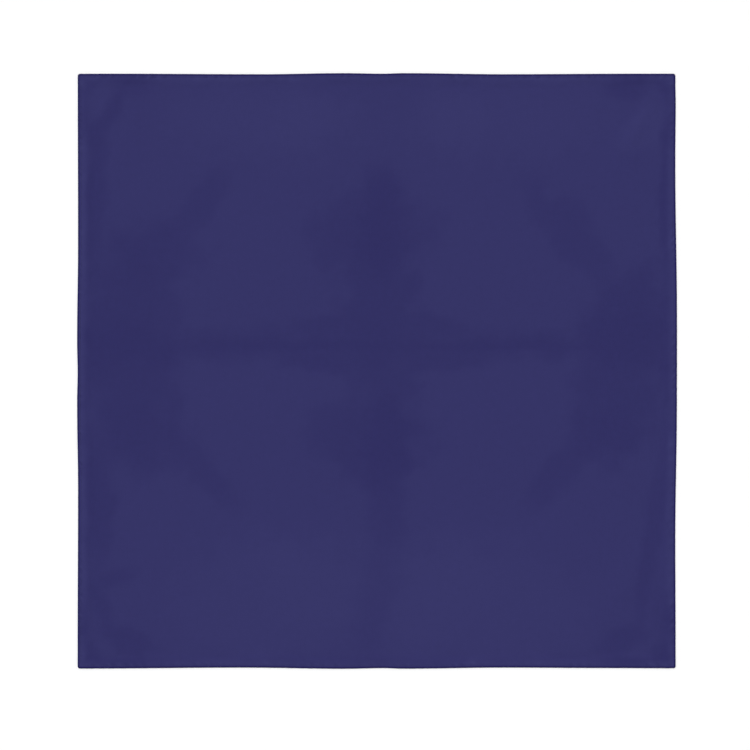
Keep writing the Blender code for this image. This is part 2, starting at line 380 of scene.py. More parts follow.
# The map for baked textures: where the cloth's upper and lower sides start on it, how large they are, and
# how wide the rim is.
BAKE_UPPER_START = 0.004
BAKE_UPPER_SIZE = 0.742
BAKE_LOWER_START = 0.765
BAKE_LOWER_SIZE = 0.230
BAKE_RIM = 0.0012

# Linear colours.
NAVY = (0.0266, 0.0252, 0.1105)
THREAD_NAVY = (0.026, 0.025, 0.112)

# The weave: the pitch of its yarns, the power of a sine that rounds them, their share of height where they
# pass under, and the sizes of the streaks of uneven yarns and of the mottle.
YARN_PITCH = 0.40
YARN_POWER = 0.7
YARN_UNDER = 0.4
STREAK_LENGTH = 26
STREAK_WIDTH = 0.75
MOTTLE_SIZE = 5
MOTTLE_DETAIL = 4

# The share of the cloth's colour in the gaps, painted darker as shade, what each part of the weave adds, and
# how high it stands.
GAP_PAINTED_SHADE = 0.93
YARN_TONE = 0.1
STREAK_TONE = 0.035
MOTTLE_TONE = 0.05
YARN_RELIEF = 0.05
STREAK_RELIEF = 0.03

# The same for the thread and its twisted plies, painted darker between them as shade.
PLY_PITCH = 0.5
THREAD_MOTTLE_SIZE = 2.5
THREAD_GAP_PAINTED_SHADE = 0.82
PLY_TONE = 0.25
THREAD_MOTTLE_TONE = 0.05
PLY_RELIEF = 0.05

# How much Blender's noise is stretched, so that it is about 1 high.
NOISE_STRETCH = 2.6

# The floor: its colour, how far it reaches each way, in metres, and its faint clouds, so many to a metre.
FLOOR_COLOUR = (0.88, 0.88, 0.88)
FLOOR_REACH = 60
FLOOR_CLOUDS = (3, 3, 3)
FLOOR_CLOUD_TONE = 0.002

# Light: the key from above, the pale walls that are seen past the floor, and the ceiling.
KEY_STRENGTH = 2.38
KEY_ANGLE = 40
KEY_FROM = (-0.24, 0.36, 1.0)
WALLS_STRENGTH = 1.06
CEILING_STRENGTH = 0.44
WALLS_TOP = 0.12
CEILING_START = 0.26

# The camera, in metres: the middle of its view, its height, and how much it shows at the height of the face.
VIEW_CENTRE = (-0.0019, -0.00378)
CAMERA_HEIGHT = 2.2
FACE_HEIGHT = 0.0015
VIEW_WIDTH = 0.6999


def bell(t):
    """1 at t = 0, falling smoothly to 0 at -1 and 1."""
    return 0.5 * (1 + np.cos(np.pi * np.clip(t, -1, 1)))


def fade(depth, start, end):
    """1 up to start, falling smoothly to 0 at end."""
    return 0.5 * (1 + np.cos(np.pi * np.clip((depth - start) / (end - start), 0, 1)))


def dome(t):
    """A bell with a broad top, as cloth has where it arches."""
    return 1 - (1 - bell(t)) ** 2


def row_bell(depth):
    """1 on the row of stitches, falling smoothly to 0 on both sides of it."""
    return bell((depth - STITCH_DEPTH) / STITCH_REACH)


def beside(spot, x, y):
    """How far places lie along and across a spot or crease from its middle."""
    turn = radians(spot.turn)
    away_x = x - CROSSING_X - spot.x
    away_y = y - CROSSING_Y - spot.y
    along = away_x * np.cos(turn) + away_y * np.sin(turn)
    across = away_y * np.cos(turn) - away_x * np.sin(turn)
    return along, across


def within(spot, x, y):
    """The same, each as a share of the spot's half size."""
    along, across = beside(spot, x, y)
    return along / spot.half_length, across / spot.half_width


def arched(x, y):
    """The broad form: how far the cloth arches off the surface."""
    height = np.zeros_like(x)
    for spot in QUARTERS:
        along, across = within(spot, x, y)
        height += spot.amount * dome(along) * dome(across)
    for spot in SWELLS:
        height += spot.amount * bell(np.hypot(*within(spot, x, y)))
    for spot in TROUGHS:
        along, across = within(spot, x, y)
        height *= 1 - spot.amount * dome(along) * bell(across)
    return np.maximum(height - PRESSED_FLAT, 0)


def creased(crease, x, y):
    """The height of one crease, on a curve that bends away from its middle."""
    along, across = beside(crease, x, y)
    t = along / crease.half_length
    return crease.rise * bell(t) * bell((across - crease.bend * t * t) / crease.half_width)


def scattered_creases():
    """Small creases over the whole panel, near its grains and diagonals."""
    draw = np.random.default_rng(EASE_SEED)
    found = []
    for i in range(EASE_COUNT):
        x = draw.uniform(-WIDTH / 2, WIDTH / 2)
        y = draw.uniform(-HEIGHT / 2, HEIGHT / 2)
        turn = draw.choice(EASE_TURNS) + draw.normal(0, EASE_TURN_SPREAD)
        length = draw.uniform(*EASE_HALF_LENGTH)
        width = draw.uniform(*EASE_HALF_WIDTH)
        bend = draw.normal(0, EASE_BEND_SPREAD)
        rise = draw.normal(0, EASE_RISE_SPREAD)
        found.append(Crease("ease", x - CROSSING_X, y - CROSSING_Y, turn, length, width, bend, rise))
    return found


def rested(height):
    """Keeps the cloth on the surface, however far down its forms would take it."""
    return 0.5 * (height + np.hypot(height, SETTLING))


def lifted(x, y):
    """How far the cloth stands off the surface, apart from what its hems add."""
    height = arched(x, y)
    for crease in (*CREASES, *SCATTERED):
        height += creased(crease, x, y)
    return rested(height)


def wandered(x, y):
    """Smooth uneven shifts of places."""
    shift = np.zeros((len(x), 2))
    for length, amount in WANDERS:
        places = zip(x / length, y / length)
        shift += amount * np.array([noise.noise_vector((a, b, WANDER_SLICE))[:2] for a, b in places])
    return shift.T


def spot_tone(x, y):
    """The painted light and shade from the spots. Lights add up; where darks meet, about the darkest holds.
    """
    light, dark = np.zeros_like(x), np.zeros_like(x)
    shift_x, shift_y = wandered(x, y)
    for spot in PAINTED_SHADING_SPOTS:
        share = min(spot.half_width / WANDER_FULL_WIDTH, 1)
        away = np.hypot(*within(spot, x + share * shift_x, y + share * shift_y))
        shade = spot.amount * bell(away**TONE_BREADTH)
        light += np.maximum(shade, 0)
        dark += np.maximum(-shade, 0) ** 3
    return light - np.cbrt(dark)


def toned(x, y):
    """The cloth's painted light and shade at each place, as a share of its colour."""
    from_side = WIDTH / 2 - np.abs(x)
    from_end = HEIGHT / 2 - np.abs(y)
    depth = np.minimum(from_side, from_end)
    painted_shading = spot_tone(x, y)
    hollow = 1 - fade(depth, HEM_LIGHT_END, HOLLOW_START)
    painted_shading = np.where(painted_shading < 0, painted_shading * hollow, painted_shading)
    # Painted light on the raised hems.
    hem_light = [hem.lightened(*hem.measure(x, y)) for hem in HEMS.values()]
    painted_shading += np.max(hem_light, 0) + CREST_PAINTED_LIGHT * fade(depth, CREST_TONE_START, CREST_TONE_END)
    painted_shading += sum(hem.shaded(*hem.measure(x, y)) for hem in HEMS.values())
    # Painted shade on the edge's turn, darker at the corners.
    edge = fade(depth, EDGE_TONE_START, EDGE_TONE_END)
    corner = fade(np.maximum(from_side, from_end), EDGE_TONE_START, CORNER_TONE_END)
    return painted_shading * (1 - edge) + (EDGE_PAINTED_SHADE + CORNER_PAINTED_SHADE * corner) * edge


def inset(waves, place):
    """Inset of an edge at places along it, on a smooth curve through its waves."""
    found = np.full_like(place, waves[-1].inset)
    for start, end in zip(waves[::-1][1:], waves[::-1]):
        share = fade(place, start.along, end.along)
        found = np.where(place <= end.along, start.inset * share + end.inset * (1 - share), found)
    return found


def waved(x, y):
    """Places on the plain rectangle, moved in with the waves of the edges near them."""
    moved_x = x - inset(RIGHT_WAVES, y) * fade(WIDTH / 2 - x, SIDE_HEM_WIDTH, WAVE_END)
    moved_x += inset(LEFT_WAVES, y) * fade(WIDTH / 2 + x, SIDE_HEM_WIDTH, WAVE_END)
    moved_y = y - inset(TOP_WAVES, x) * fade(HEIGHT / 2 - y, END_HEM_WIDTH, WAVE_END)
    moved_y += inset(BOTTOM_WAVES, x) * fade(HEIGHT / 2 + y, END_HEM_WIDTH, WAVE_END)
    return moved_x, moved_y


class Hem:
    """One side of the square. along runs beside it and depth runs in from it."""

    def __init__(self, name, upright, sign, width):
        self.name, self.upright, self.sign, self.width = name, upright, sign, width
        self.half = (WIDTH if upright else HEIGHT) / 2
        self.length = HEIGHT if upright else WIDTH
        draw = np.random.default_rng(RIPPLE_SEEDS[name])
        self.ripples = [
            (draw.uniform(*RIPPLE_LENGTHS), draw.uniform(*RIPPLE_SLANTS), draw.uniform(0, 2 * np.pi))
            for i in range(RIPPLE_COUNT)
        ]
        self.changes = [
            (draw.uniform(*CHANGE_LENGTHS), draw.uniform(0, 2 * np.pi)) for i in range(CHANGE_COUNT)
        ]
        self.puckers = [self.pucker(draw) for i in range(PUCKER_COUNT)]

    def pucker(self, draw):
        """One pucker at random: its place, half length, half width, slant and rise."""
        along = draw.uniform(-self.length / 2, self.length / 2)
        length = draw.uniform(*PUCKER_HALF_LENGTH)
        width = draw.uniform(*PUCKER_HALF_WIDTH)
        slant = draw.normal(0, PUCKER_SLANT_SPREAD)
        rise = draw.normal(0, PUCKER_RISE_SPREAD)
        return along, length, width, slant, rise

    def place(self, along, depth):
        """Where a point of the hem lies on the plain rectangle."""
        across = self.sign * (self.half - depth)
        return (across, along) if self.upright else (along, across)

    def measure(self, x, y):
        """How far places lie along the hem and in from its edge."""
        return (y, self.half - self.sign * x) if self.upright else (x, self.half - self.sign * y)

    def unevenness(self, along):
        """How uneven the hem is at a place along it, from 0 to 1."""
        total = sum(np.sin(2 * np.pi * along / length + start) for length, start in self.changes)
        return np.clip(0.5 + CHANGE_SHARE * total, 0, 1)

    def top_height(self, along, depth):
        """How far the hem holds the panel off the surface."""
        slope = SLOPE + SLOPE_CHANGE * (2 * self.unevenness(along + SLOPE_SHIFT) - 1)
        return HEM_RISE * fade(depth, self.width - SLOPE_LEAD, self.width + slope)

    def rippled(self, along, depth):
        """Slanting ripples across the hem, and puckers that run in from it."""
        height = np.zeros_like(along)
        for length, slant, start in self.ripples:
            height += RIPPLE_RISE * np.sin(2 * np.pi * (along + slant * depth) / length + start)
        height *= RIPPLE_LEAST + self.unevenness(along)
        height *= fade(depth, RIPPLE_END, RIPPLE_END + RIPPLE_FADE)
        for place, length, width, slant, rise in self.puckers:
            t = (depth - STITCH_DEPTH) / length
            s = (along - place - slant * (depth - STITCH_DEPTH)) / width
            height += rise * bell(t) * bell(s) * np.clip(depth / STITCH_DEPTH, 0, 1)
        return np.where(height < 0, DEEPEST_RIPPLE * np.tanh(height / DEEPEST_RIPPLE), height)

    def lightened(self, along, depth):
        """Painted light on the hem, which stands up out of the hollows."""
        reach = fade(depth, self.width - HEM_TONE_LEAD, self.width + HEM_TONE_REACH)
        return reach * (HEM_PAINTED_LIGHT[self.name] + RIPPLE_TONE * self.rippled(along, depth))

    def shaded(self, along, depth):
        """The painted shade and light along the hem and on the slope inside it."""
        from_end = self.length / 2 - np.abs(along)
        shade = sum(s.amount * bell((from_end - s.from_end) / s.half_length) for s in HEM_PAINTED_SHADES)
        slope = bell((depth - self.width - SLOPE_TONE_DEPTH) / SLOPE_TONE_REACH)
        return shade * fade(depth, HEM_SHADE_START, HEM_SHADE_END) + SLOPE_PAINTED_SHADING[self.name] * slope

    def dented(self, along, depth):
        """The dent that the row of stitches draws into the cloth, deepest at its holes."""
        hole = (0.5 + 0.5 * np.cos(2 * np.pi * along / STITCH_PITCH)) ** 2
        return -STITCH_DIP * row_bell(depth) * (DIP_BETWEEN + (1 - DIP_BETWEEN) * hole)


HEMS = {
    "top": Hem("top", False, 1, END_HEM_WIDTH),
    "bottom": Hem("bottom", False, -1, END_HEM_WIDTH),
    "left": Hem("left", True, -1, SIDE_HEM_WIDTH),
    "right": Hem("right", True, 1, SIDE_HEM_WIDTH),
}
SCATTERED = scattered_creases()


def hem_top(x, y):
    """What the hems add to the panel's height over them."""
    heights = {name: hem.top_height(*hem.measure(x, y)) for name, hem in HEMS.items()}
    side = np.maximum(heights["left"], heights["right"])
    end = np.maximum(heights["top"], heights["bottom"])
    height = np.maximum(side, end) + CORNER_RISE * side * end / HEM_RISE**2
    for hem in HEMS.values():
        along, depth = hem.measure(x, y)
        height += hem.rippled(along, depth) + hem.dented(along, depth)
    return height


def turn_depth(arc):
    """How deep inside its edge the cloth lies, at a distance along it from the turn's foot."""
    angle = np.pi * (np.clip(arc / TURN_ARC, 0, 1) - 0.5)
    return TURN_IN - TURN_REACH * np.cos(angle) + np.maximum(arc - TURN_ARC, 0)


def turn_share(arc):
    """How much of the hem's height the cloth has there."""
    angle = np.pi * (np.clip(arc / TURN_ARC, 0, 1) - 0.5)
    return 0.5 * (1 + np.sin(angle))


def turned_in(flat_x, flat_y):
    """Where places on the flat cloth lie on the plain rectangle once its edges are turned, and how far each
    is from the foot of the turn. The corners are rounded."""
    arc_x = HALF_X - np.abs(flat_x)
    arc_y = HALF_Y - np.abs(flat_y)
    x = WIDTH / 2 - turn_depth(arc_x)
    y = HEIGHT / 2 - turn_depth(arc_y)
    outer = np.minimum(arc_x, arc_y)
    other = np.maximum(arc_x, arc_y)
    round_part = other < CORNER_ARC
    # 0 on the corner's diagonal and 1 where the round part meets the straight one.
    from_diagonal = (other - outer) / np.maximum(CORNER_ARC - outer, 1e-6)
    turn = radians(45) * (1 - from_diagonal)
    radius = CORNER_RADIUS - turn_depth(outer)
    to_side = radius * np.cos(turn)
    to_other = radius * np.sin(turn)
    outer_is_x = arc_x <= arc_y
    corner_x = WIDTH / 2 - CORNER_RADIUS + np.where(outer_is_x, to_side, to_other)
    corner_y = HEIGHT / 2 - CORNER_RADIUS + np.where(outer_is_x, to_other, to_side)
    x = np.where(round_part, corner_x, x) * np.sign(flat_x)
    y = np.where(round_part, corner_y, y) * np.sign(flat_y)
    return x, y, outer


def panel_lines(half_flat, half_size, fold):
    """The net's lines on the flat cloth along one axis: the turns, the hems, the middle and the fold."""
    turns = [half_flat - TURN_ARC * i / TURN_STEPS for i in range(TURN_STEPS + 1)]
    edge = turns + [half_size - depth for depth in EDGE_DEPTHS]
    end = edge[-1]
    below = round((fold + FOLD_LINES[0] + end) / LINE_SPACING)
    above = round((end - fold - FOLD_LINES[-1]) / LINE_SPACING)
    middle = list(np.linspace(-end, fold + FOLD_LINES[0], below + 1)[1:-1])
    middle += [fold + line for line in FOLD_LINES]
    middle += list(np.linspace(fold + FOLD_LINES[-1], end, above + 1)[1:-1])
    return [-line for line in edge] + middle + edge[::-1]


def net(columns, rows):
    """A flat net of quads through the crossings of columns and rows."""
    mesh = bmesh.new()
    bmesh.ops.create_grid(mesh, x_segments=len(columns) - 1, y_segments=len(rows) - 1, size=0.5)
    for vertex in mesh.verts:
        i = round((vertex.co.x + 0.5) * (len(columns) - 1))
        j = round((vertex.co.y + 0.5) * (len(rows) - 1))
        vertex.co = (columns[i], rows[j], 0)
    return mesh


def refine_hems(mesh):
    """Splits the net's long edges beside the stitches."""
    def fine(vertex):
        return min(WIDTH / 2 - abs(vertex.co.x), HEIGHT / 2 - abs(vertex.co.y)) <= FINE_DEPTH

    chosen = [edge for edge in mesh.edges if all(map(fine, edge.verts)) and edge.calc_length() > LONG_EDGE]
    bmesh.ops.subdivide_edges(mesh, edges=chosen, cuts=FINE_CUTS, use_grid_fill=True)


def as_object(name, data):
    """A new object of the scene."""
    made = bpy.data.objects.new(name, data)
    bpy.context.scene.collection.objects.link(made)
    return made


def built(name, mesh):
    """A new object with a mesh that is ready."""
    data = bpy.data.meshes.new(name)
    mesh.to_mesh(data)
    mesh.free()
    return as_object(name, data)


def apply_modifiers(made):
    """Replaces an object's mesh by what its modifiers make of it, and removes them."""
    bpy.context.view_layer.update()
    graph = bpy.context.evaluated_depsgraph_get()
    result = bpy.data.meshes.new_from_object(made.evaluated_get(graph))
    made.modifiers.clear()
    old, made.data = made.data, result
    bpy.data.meshes.remove(old)


def walled(name, mesh, flat, points):
    """A thin shell of cloth round a net moved to points. flat holds the net's places on the cut cloth."""
    for vertex, point in zip(mesh.verts, points * MM):
        vertex.co = point
    faces = len(mesh.faces)
    made = built(name, mesh)
    wall = made.modifiers.new("wall", "SOLIDIFY")
    wall.thickness = CLOTH * MM
    wall.offset = 0.0
    wall.use_even_offset = True
    apply_modifiers(made)
    made.data.shade_smooth()
    both_faces = np.concatenate([flat, flat])
    map_weave(made.data, both_faces)
    map_bake(made.data, both_faces, faces)
    return made


def corner_vertices(mesh):
    """The number of the vertex at each corner of the faces."""
    found = np.empty(len(mesh.loops), np.int32)
    mesh.loops.foreach_get("vertex_index", found)
    return found


def map_weave(mesh, flat):
    """The UV map that the weave follows: places on the flat cloth, in metres."""
    layer = mesh.uv_layers.new(name="weave")
    layer.uv.foreach_set("vector", (flat[corner_vertices(mesh)] * MM).astype(np.float32).ravel())


def map_bake(mesh, flat, faces):
    """The UV map for baked textures: the upper side large, with the rim round it, and the lower side small.
    Each side has so many faces, the upper one's first, and the rim's come last."""
    corners = corner_vertices(mesh)
    counts = np.empty(len(mesh.polygons), np.int32)
    mesh.polygons.foreach_get("loop_total", counts)
    face = np.repeat(np.arange(len(counts)), counts)
    low, high = flat.min(0), flat.max(0)
    unit = (flat - low) / (high - low)
    upper = BAKE_UPPER_START + BAKE_UPPER_SIZE * unit
    lower = BAKE_LOWER_START + BAKE_LOWER_SIZE * unit
    is_lower_copy = corners >= len(flat) // 2
    outward = np.sign(unit - 0.5) * BAKE_RIM
    rim = upper[corners] + np.where(is_lower_copy[:, None], outward[corners], 0)
    found = np.where((face < faces)[:, None], upper[corners], lower[corners])
    found = np.where((face >= 2 * faces)[:, None], rim, found)
    mesh.uv_layers.new(name="OFBake").uv.foreach_set("vector", found.astype(np.float32).ravel())


def flat_places(mesh):
    """Where the net's points lie on the flat cloth."""
    return np.array([vertex.co[:2] for vertex in mesh.verts])


def panel():
    """The whole square as one shell, from the foot of the turn under each edge."""
    columns = panel_lines(HALF_X, WIDTH / 2, CROSSING_X)
    rows = panel_lines(HALF_Y, HEIGHT / 2, CROSSING_Y)
    mesh = net(columns, rows)
    refine_hems(mesh)
    flat = flat_places(mesh)
    x, y, arc = turned_in(flat[:, 0], flat[:, 1])
    height = LOWEST + rested(lifted(x, y) + turn_share(arc) * hem_top(x, y))
    made = walled("panel_cloth", mesh, flat, np.stack([*waved(x, y), height], 1))
    # The painted light and shade, which the material's colour follows.
    painted_shading = np.tile(toned(x, y), 2).astype(np.float32)
    made.data.attributes.new("painted_shading", "FLOAT", "POINT").data.foreach_set("value", painted_shading)
    return made


def turned_profile(width):
    """A section through a hem's turned layers: depths, layers (0 lowest, 1 middle) and lengths along it."""
    fold = width - BEND_REACH
    lowest = [(depth, 0.0) for depth in np.linspace(HEM_START, fold, LAYER_LINES)]
    angles = np.linspace(-np.pi / 2, np.pi / 2, BEND_STEPS + 2)[1:-1]
    bend = [(fold + BEND_REACH * np.cos(a), 0.5 + 0.5 * np.sin(a)) for a in angles]
    middle = [(depth, 1.0) for depth in np.linspace(fold, RAW_EDGE, LAYER_LINES)]
    section = np.array(lowest + bend + middle)
    steps = np.hypot(np.diff(section[:, 0]), np.diff(section[:, 1]) * LAYER)
    return section[:, 0], section[:, 1], np.concatenate([[0], np.cumsum(steps)])


def round_corners(x, y):
    """Brings places near the square's corners inside the foot of the turn, which is rounded there."""
    radius = CORNER_RADIUS - HEM_START
    past_x = np.abs(x) - (WIDTH / 2 - CORNER_RADIUS)
    past_y = np.abs(y) - (HEIGHT / 2 - CORNER_RADIUS)
    away = np.hypot(past_x, past_y)
    share = np.where((past_x > 0) & (past_y > 0) & (away > radius), radius / away, 1.0)
    return x - np.sign(x) * past_x * (1 - share), y - np.sign(y) * past_y * (1 - share)


def turning(hem):
    """The hem's two turned layers under the panel, as one strip folded along the hem's inner side."""
    depths, layers, lengths = turned_profile(hem.width)
    end = hem.length / 2 - (END_HEM_WIDTH + HEM_GAP if hem.upright else HEM_START)
    count = round(2 * end / HEM_PITCH)
    alongs = np.linspace(-end, end, count + 1)
    # With this sign the net's faces look outward from the fold.
    outward = hem.sign * (-1 if hem.upright else 1)
    mesh = net(alongs, lengths * outward)
    flat = flat_places(mesh)
    along, arc = flat[:, 0], flat[:, 1] * outward
    depth, layer = np.interp(arc, lengths, depths), np.interp(arc, lengths, layers)
    x, y = round_corners(*hem.place(along, depth))
    height = LOWEST + lifted(x, y) + layer * (LAYER + MIDDLE_RIPPLE * hem.rippled(along, depth))
    height += LOWER_GROOVE * row_bell(depth) * (1 - (1 - MIDDLE_GROOVE) * layer)
    points = np.stack([*waved(x, y), height], 1)
    cut = np.stack([along, hem.half + arc], 1)
    return walled(f"{hem.name}_hem_turned", mesh, cut, points)


class Wire:
    """A number or vector that comes out of a node. Python's arithmetic on a number adds Math nodes."""

    def __init__(self, nodes, socket):
        self.nodes, self.socket = nodes, socket

    def __add__(self, other):
        return self.nodes.math("ADD", self, other)

    def __radd__(self, other):
        return self.nodes.math("ADD", other, self)

    def __sub__(self, other):
        return self.nodes.math("SUBTRACT", self, other)

    def __rsub__(self, other):
        return self.nodes.math("SUBTRACT", other, self)

    def __mul__(self, other):
        return self.nodes.math("MULTIPLY", self, other)

    def __rmul__(self, other):
        return self.nodes.math("MULTIPLY", other, self)

    def __pow__(self, other):
        return self.nodes.math("POWER", self, other)

    def __abs__(self):
        return self.nodes.math("ABSOLUTE", self)


class Outputs:
    """The outputs of a node, each a Wire under its name or number."""

    def __init__(self, nodes, node):
        self.nodes, self.node = nodes, node

    def __getitem__(self, name):
        return Wire(self.nodes, self.node.outputs[name])


class Nodes:
    """Adds nodes to the tree of a material, a world or a modifier."""

    def __init__(self, tree):
        self.tree = tree

    def node(self, kind, settings=None, sockets=None):
        """Any node. sockets gives the values or Wires of its inputs, by their names or numbers."""
        made = self.tree.nodes.new(kind)
        for name, value in (settings or {}).items():
            setattr(made, name, value)
        for name, value in (sockets or {}).items():
            if isinstance(value, Wire):
                self.tree.links.new(value.socket, made.inputs[name])
            else:
                made.inputs[name].default_value = value
        return Outputs(self, made)

    def math(self, operation, *values):
        return self.node("ShaderNodeMath", {"operation": operation}, dict(enumerate(values)))["Value"]

    def vector(self, operation, *values):
        return self.node("ShaderNodeVectorMath", {"operation": operation}, dict(enumerate(values)))["Vector"]

    def noise(self, place, scale, detail=2.0):
        """Smooth noise, from about -1 to 1. scale is how many features there are to a metre, each way."""
        features = self.vector("MULTIPLY", place, scale)
        sockets = {"Vector": features, "Scale": 1.0, "Detail": detail}
        found = self.node("ShaderNodeTexNoise", None, sockets)["Fac"]
        return (found - 0.5) * NOISE_STRETCH

    def bump(self, height):
        """The direction of a surface with small relief, whose height is in mm."""
        sockets = {"Strength": 1.0, "Distance": MM, "Height": height}
        return self.node("ShaderNodeBump", None, sockets)["Normal"]


def new_material(name):
    """An empty material, and the Nodes that fill it."""
    material = bpy.data.materials.new(name)
    material.use_nodes = True
    material.node_tree.nodes.clear()
    return material, Nodes(material.node_tree)


def finish_surface(nodes, sockets):
    """The last two nodes of a material, with the sockets that make its finish."""
    surface = nodes.node("ShaderNodeBsdfPrincipled", None, sockets)
    nodes.node("ShaderNodeOutputMaterial", None, {"Surface": surface["BSDF"]})


def woven(nodes, x, y):
    """The height of a plain weave, from 0 in its gaps to 1 on its yarns, at a place in yarns."""
    across = nodes.math("SINE", x * np.pi)
    up = nodes.math("SINE", y * np.pi)
    over_warp = up * nodes.math("SIGN", across) * 0.5 + 0.5
    over_weft = 0.5 - across * nodes.math("SIGN", up) * 0.5
    warp = abs(across) ** YARN_POWER * (over_warp * (1 - YARN_UNDER) + YARN_UNDER)
    weft = abs(up) ** YARN_POWER * (over_weft * (1 - YARN_UNDER) + YARN_UNDER)
    return nodes.math("MAXIMUM", warp, weft)


def cotton():
    """Washed navy cotton: a plain weave of uneven yarns, softly mottled, with painted shade in folds, hollows
    and gaps.
    """
    material, nodes = new_material("navy_cotton")
    flat = nodes.node("ShaderNodeUVMap", {"uv_map": "weave"})["UV"]
    place = nodes.node("ShaderNodeSeparateXYZ", None, {"Vector": flat})
    yarns = 1 / (YARN_PITCH * MM)
    height = woven(nodes, place["X"] * yarns, place["Y"] * yarns)
    narrow, long, wide = 1 / (STREAK_WIDTH * MM), 1 / (STREAK_LENGTH * MM), 1 / (MOTTLE_SIZE * MM)
    streaks = nodes.noise(flat, (narrow, long, 0)) * 0.5 + nodes.noise(flat, (long, narrow, 0)) * 0.5
    mottle = nodes.noise(flat, (wide, wide, 0), MOTTLE_DETAIL)
    # Painted light and shade, from the panel's attribute.
    painted_shading = nodes.node("ShaderNodeAttribute", {"attribute_name": "painted_shading"})["Fac"]
    tinted = nodes.vector("MULTIPLY", painted_shading, TONE_TINT)
    # The weave is painted darker in its gaps, as shade; the streaks and mottle are the yarns' own uneven
    # colour.
    share = GAP_PAINTED_SHADE + height * YARN_TONE + streaks * STREAK_TONE + mottle * MOTTLE_TONE
    colour = nodes.vector("MULTIPLY", nodes.vector("ADD", tinted, share), NAVY)
    finish_surface(nodes, {
        "Base Color": colour,
        "Roughness": 0.86 - height * 0.06,
        "Normal": nodes.bump(height * YARN_RELIEF + streaks * STREAK_RELIEF),
        "Specular IOR Level": 0.12,
        "Sheen Weight": 0.1,
        "Sheen Roughness": 0.5,
        "Sheen Tint": (0.45, 0.45, 0.9, 1.0),
    })
    return material


def thread():
    """Navy sewing thread: two twisted plies, painted darker between them as shade, with a slight sheen."""
    material, nodes = new_material("navy_thread")
    place = nodes.node("ShaderNodeTexCoord")["Object"]
    split = nodes.node("ShaderNodeSeparateXYZ", None, {"Vector": place})
    twist = nodes.math("SINE", (split["X"] + split["Y"]) * (2 * np.pi / (PLY_PITCH * MM))) * 0.5 + 0.5
    wide = 1 / (THREAD_MOTTLE_SIZE * MM)
    mottle = nodes.noise(place, (wide, wide, wide))
    # Painted shade in the grooves between the plies.
    share = THREAD_GAP_PAINTED_SHADE + twist * PLY_TONE + mottle * THREAD_MOTTLE_TONE
    finish_surface(nodes, {
        "Base Color": nodes.vector("MULTIPLY", THREAD_NAVY, share),
        "Roughness": 0.66 - twist * 0.08,
        "Normal": nodes.bump(twist * PLY_RELIEF),
        "Specular IOR Level": 0.18,
        "Sheen Weight": 0.06,
        "Sheen Roughness": 0.4,
        "Sheen Tint": (0.4, 0.4, 0.9, 1.0),
    })
    return material


def plain_floor():
    """A smooth pale table top."""
    material, nodes = new_material("pale_floor")
    place = nodes.node("ShaderNodeTexCoord")["Object"]
    clouds = nodes.noise(place, FLOOR_CLOUDS)
    colour = nodes.vector("MULTIPLY", FLOOR_COLOUR, 1 + clouds * FLOOR_CLOUD_TONE)
    finish_surface(nodes, {"Base Color": colour, "Roughness": 0.9, "Specular IOR Level": 0.1})
    return material


